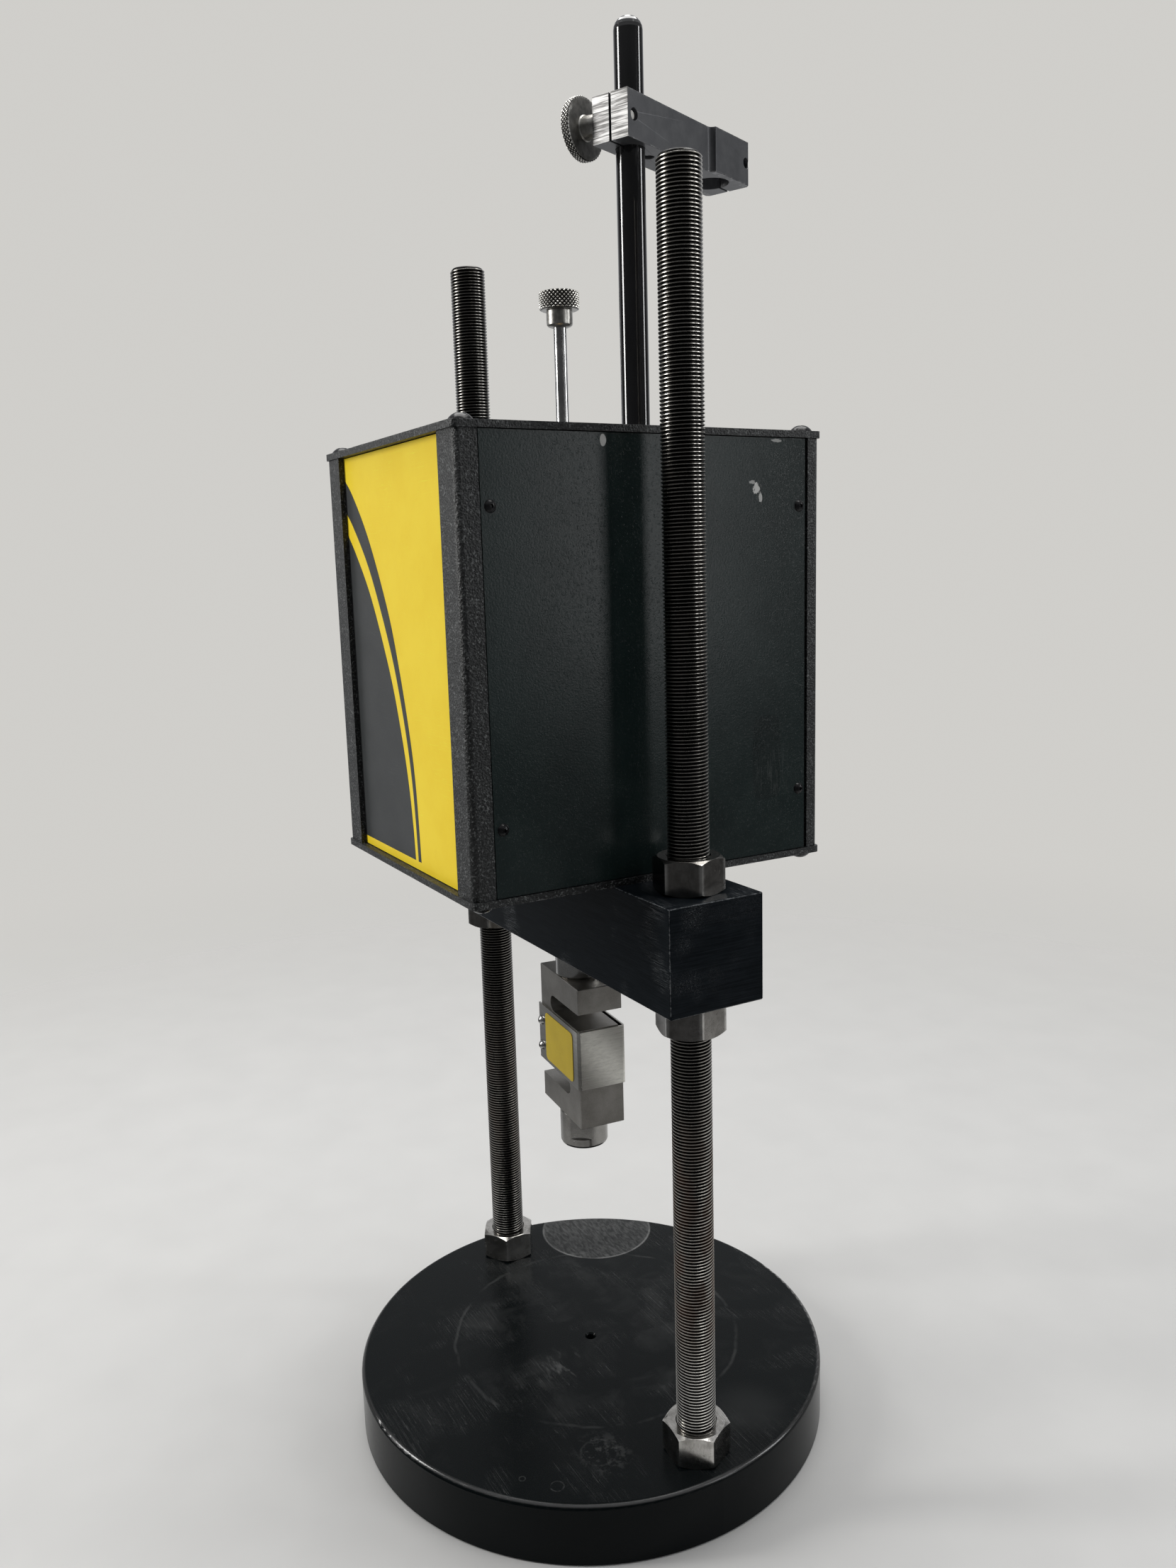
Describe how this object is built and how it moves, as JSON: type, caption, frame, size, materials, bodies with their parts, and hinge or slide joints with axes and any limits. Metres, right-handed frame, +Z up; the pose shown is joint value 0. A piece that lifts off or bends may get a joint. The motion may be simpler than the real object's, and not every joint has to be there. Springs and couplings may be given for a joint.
{
  "type": "bench load frame",
  "caption": "Two-post bench load frame: threaded columns on a round base carry a height-adjustable crosshead with a motor-driven ram, S-beam load cell and gauge arm.",
  "frame": {"origin": "centre of the round base's underside, on the ram axis", "axes": "+Z up along the ram and the columns; X through both columns; -Y towards the front cover with the yellow overlay"},
  "size_m": [0.254, 0.254, 0.687],
  "materials": {
    "base_black": "satin black, scuffed",
    "column_steel": "dark threaded steel with a brown tint",
    "nut_bright": "bright nickel",
    "nut_dull": "dull zinc",
    "crosshead_black": "blackened steel, brushed, worn edges",
    "bronze": "turned bronze",
    "screw_steel": "zinc plated",
    "screw_black": "black oxide",
    "case_charcoal": "charcoal wrinkle finish",
    "panel_grey": "dark grey orange-peel finish",
    "label_yellow": "printed film, yellow with grey curves",
    "plastic_black": "moulded black",
    "cast_aluminium": "machined",
    "bearing_steel": "ground steel",
    "gear_steel": "cut steel, oiled",
    "motor_black": "black housing",
    "ram_chrome": "hard chrome, fine turning marks",
    "board_green": "circuit board",
    "cell_nickel": "matte nickel plate",
    "cell_cover": "brushed stainless sheet",
    "label_cell": "yellow film",
    "coupling_steel": "turned stainless",
    "post_black": "polished black oxide",
    "arm_black": "black anodised, worn, one bare face"
  },
  "bodies": {
    "base": {"base_plate": "base_black", "column_right": "column_steel", "column_left": "column_steel", "base_nut_right": "nut_bright", "base_nut_left": "nut_bright"},
    "crosshead_unit": {"crosshead": "crosshead_black", "ram_bushing": "bronze", "case_mount_screws": "screw_steel", "bottom_plate": "case_charcoal", "top_plate": "case_charcoal", "top_plate_screws": "screw_black", "bottom_plate_screws": "screw_black", "corner_post_front_right": "case_charcoal", "corner_post_front_left": "case_charcoal", "corner_post_rear_right": "case_charcoal", "corner_post_rear_left": "case_charcoal", "side_panel_right": "panel_grey", "side_panel_left": "panel_grey", "side_panel_screws": "screw_black", "front_panel": "panel_grey", "front_label": "label_yellow", "rear_panel": "panel_grey", "power_inlet": "plastic_black", "sensor_sockets": "screw_steel", "data_port": "screw_steel", "gearbox_housing": "cast_aluminium", "gearbox_cover": "cast_aluminium", "gearbox_cover_screws": "screw_steel", "gearbox_foot_screws": "screw_steel", "bearing_lower": "bearing_steel", "bearing_upper": "bearing_steel", "motor_body": "motor_black", "guide_rod": "bearing_steel", "switch_bracket": "cast_aluminium", "limit_switches": "plastic_black", "control_board": "board_green", "board_spacers": "bronze", "indicator_bush": "bronze", "transducer_post": "post_black", "post_nut": "screw_steel"},
    "ram": {"ram_shaft": "ram_chrome", "guide_carrier": "cast_aluminium", "load_cell_body": "cell_nickel", "load_cell_cover": "cell_cover", "load_cell_cover_screws": "screw_steel", "load_cell_label": "label_cell", "load_cell_studs": "screw_steel", "lower_coupling": "coupling_steel", "indicator_rod": "bearing_steel", "indicator_knob": "coupling_steel"},
    "gear": {"drive_nut": "bronze", "drive_gear": "gear_steel"},
    "pinion_shaft": {"pinion": "gear_steel", "motor_shaft": "bearing_steel"},
    "arm": {"transducer_arm": "arm_black"},
    "thumbscrew": {"arm_thumbscrew": "coupling_steel"},
    "nut_upper_right": {"upper_nut_right": "nut_dull"},
    "nut_upper_left": {"upper_nut_left": "nut_dull"},
    "nut_lower_right": {"lower_nut_right": "nut_dull"},
    "nut_lower_left": {"lower_nut_left": "nut_dull"}
  },
  "joints": [
    {"name": "crosshead_height", "type": "slide", "parent": "base", "child": "crosshead_unit", "axis": [0, 0, 1], "range_m": [-0.06, 0.285]},
    {"name": "arm_swivel", "type": "hinge", "parent": "crosshead_unit", "child": "arm", "pos_m": [0.065, 0.0018, 0.6442], "axis": [0, 0, 1], "range_deg": [-40, 75]},
    {"name": "thumbscrew_turn", "type": "hinge", "parent": "arm", "child": "thumbscrew", "pos_m": [0.06881, -0.00712, 0.6442], "axis": [-0.9198, -0.3923, 0], "range_deg": [-360, 720]},
    {"name": "motor_turn", "type": "hinge", "parent": "crosshead_unit", "child": "pinion_shaft", "pos_m": [-0.04525, -0.05025, 0.36], "axis": [0, 0, 1], "range_deg": [-14420, 20]},
    {"name": "gear_turn", "type": "hinge", "parent": "crosshead_unit", "child": "gear", "pos_m": [0, 0, 0.36], "axis": [0, 0, 1], "range_deg": [0, 3600]},
    {"name": "ram_travel", "type": "slide", "parent": "crosshead_unit", "child": "ram", "axis": [0, 0, 1], "range_m": [-0.0501, 0.0001]},
    {"name": "nut_upper_right_turn", "type": "hinge", "parent": "crosshead_unit", "child": "nut_upper_right", "pos_m": [0.10477, 0, 0.32215], "axis": [0, 0, 1], "range_deg": [-13620, 64650]},
    {"name": "nut_upper_left_turn", "type": "hinge", "parent": "crosshead_unit", "child": "nut_upper_left", "pos_m": [-0.10477, 0, 0.32215], "axis": [0, 0, 1], "range_deg": [-13620, 64650]},
    {"name": "nut_lower_right_turn", "type": "hinge", "parent": "crosshead_unit", "child": "nut_lower_right", "pos_m": [0.10477, 0, 0.25585], "axis": [0, 0, 1], "range_deg": [-13620, 64650]},
    {"name": "nut_lower_left_turn", "type": "hinge", "parent": "crosshead_unit", "child": "nut_lower_left", "pos_m": [-0.10477, 0, 0.25585], "axis": [0, 0, 1], "range_deg": [-13620, 64650]}
  ],
  "couplings": [
    {"joint": "motor_turn", "follows": "gear_turn", "ratio": -4},
    {"joint": "ram_travel", "follows": "gear_turn", "m_per_rad": -0.00079577},
    {"joint": "nut_upper_right_turn", "follows": "crosshead_height", "rad_per_m": 3957.9},
    {"joint": "nut_upper_left_turn", "follows": "crosshead_height", "rad_per_m": 3957.9},
    {"joint": "nut_lower_right_turn", "follows": "crosshead_height", "rad_per_m": 3957.9},
    {"joint": "nut_lower_left_turn", "follows": "crosshead_height", "rad_per_m": 3957.9}
  ]
}
